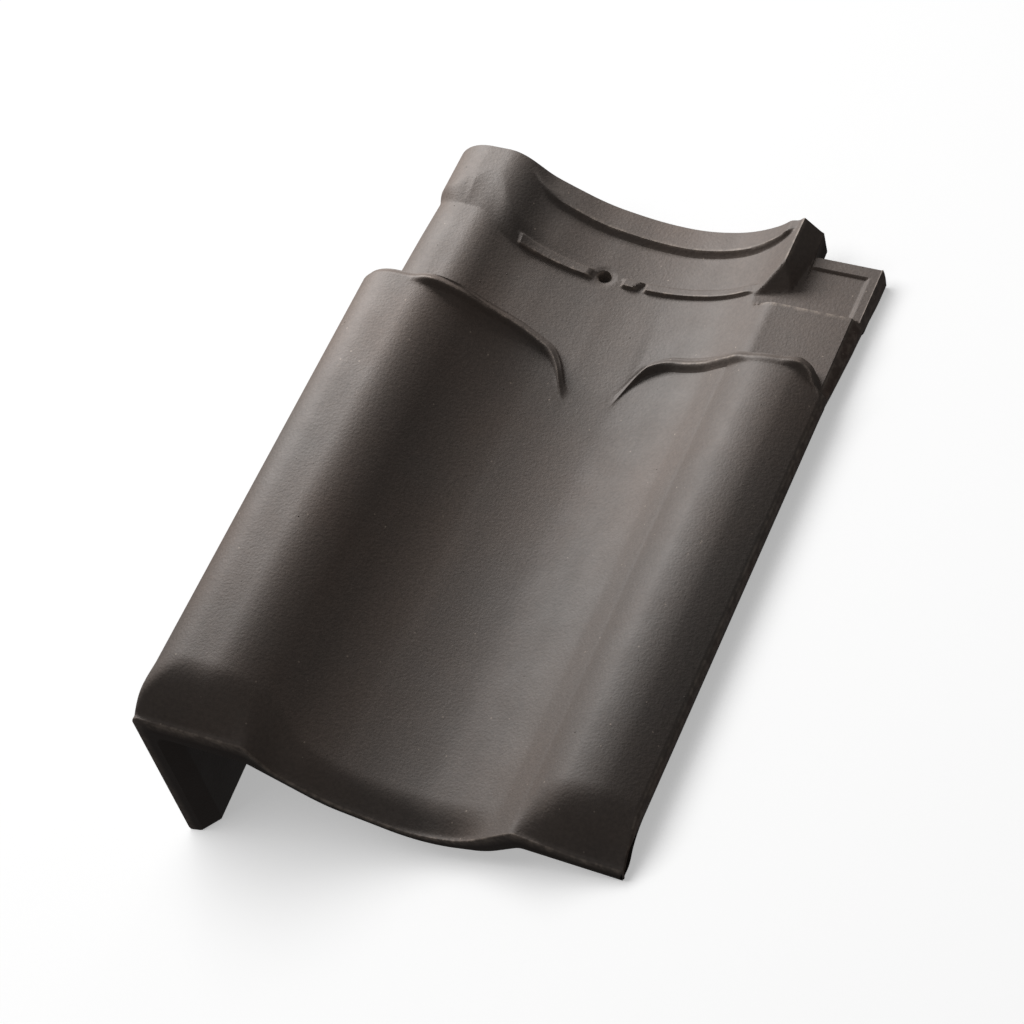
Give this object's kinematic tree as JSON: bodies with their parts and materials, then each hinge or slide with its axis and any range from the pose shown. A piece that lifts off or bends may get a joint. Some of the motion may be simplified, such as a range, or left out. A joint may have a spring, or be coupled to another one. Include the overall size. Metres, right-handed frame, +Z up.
{
  "type": "clay verge roof tile",
  "caption": "Fired-clay roof tile for a left-hand verge: two rolls and a trough, a deep flange down its left side, and an interlocking lapped head with a nail hole.",
  "frame": {"origin": "middle of the tile's footprint, on the floor it rests on", "axes": "+Y from the foot edge to the head edge, +X across to the right-hand edge, +Z up from the floor; the tile is tipped 17.7 degrees about Y, as it rests on its flange and right edge"},
  "size_m": [0.3218, 0.44, 0.1366],
  "materials": {
    "engobed_clay": "satin dark grey-brown engobe over fired clay, finely pitted"
  },
  "bodies": {
    "root": {"tile": "engobed_clay"}
  },
  "joints": []
}
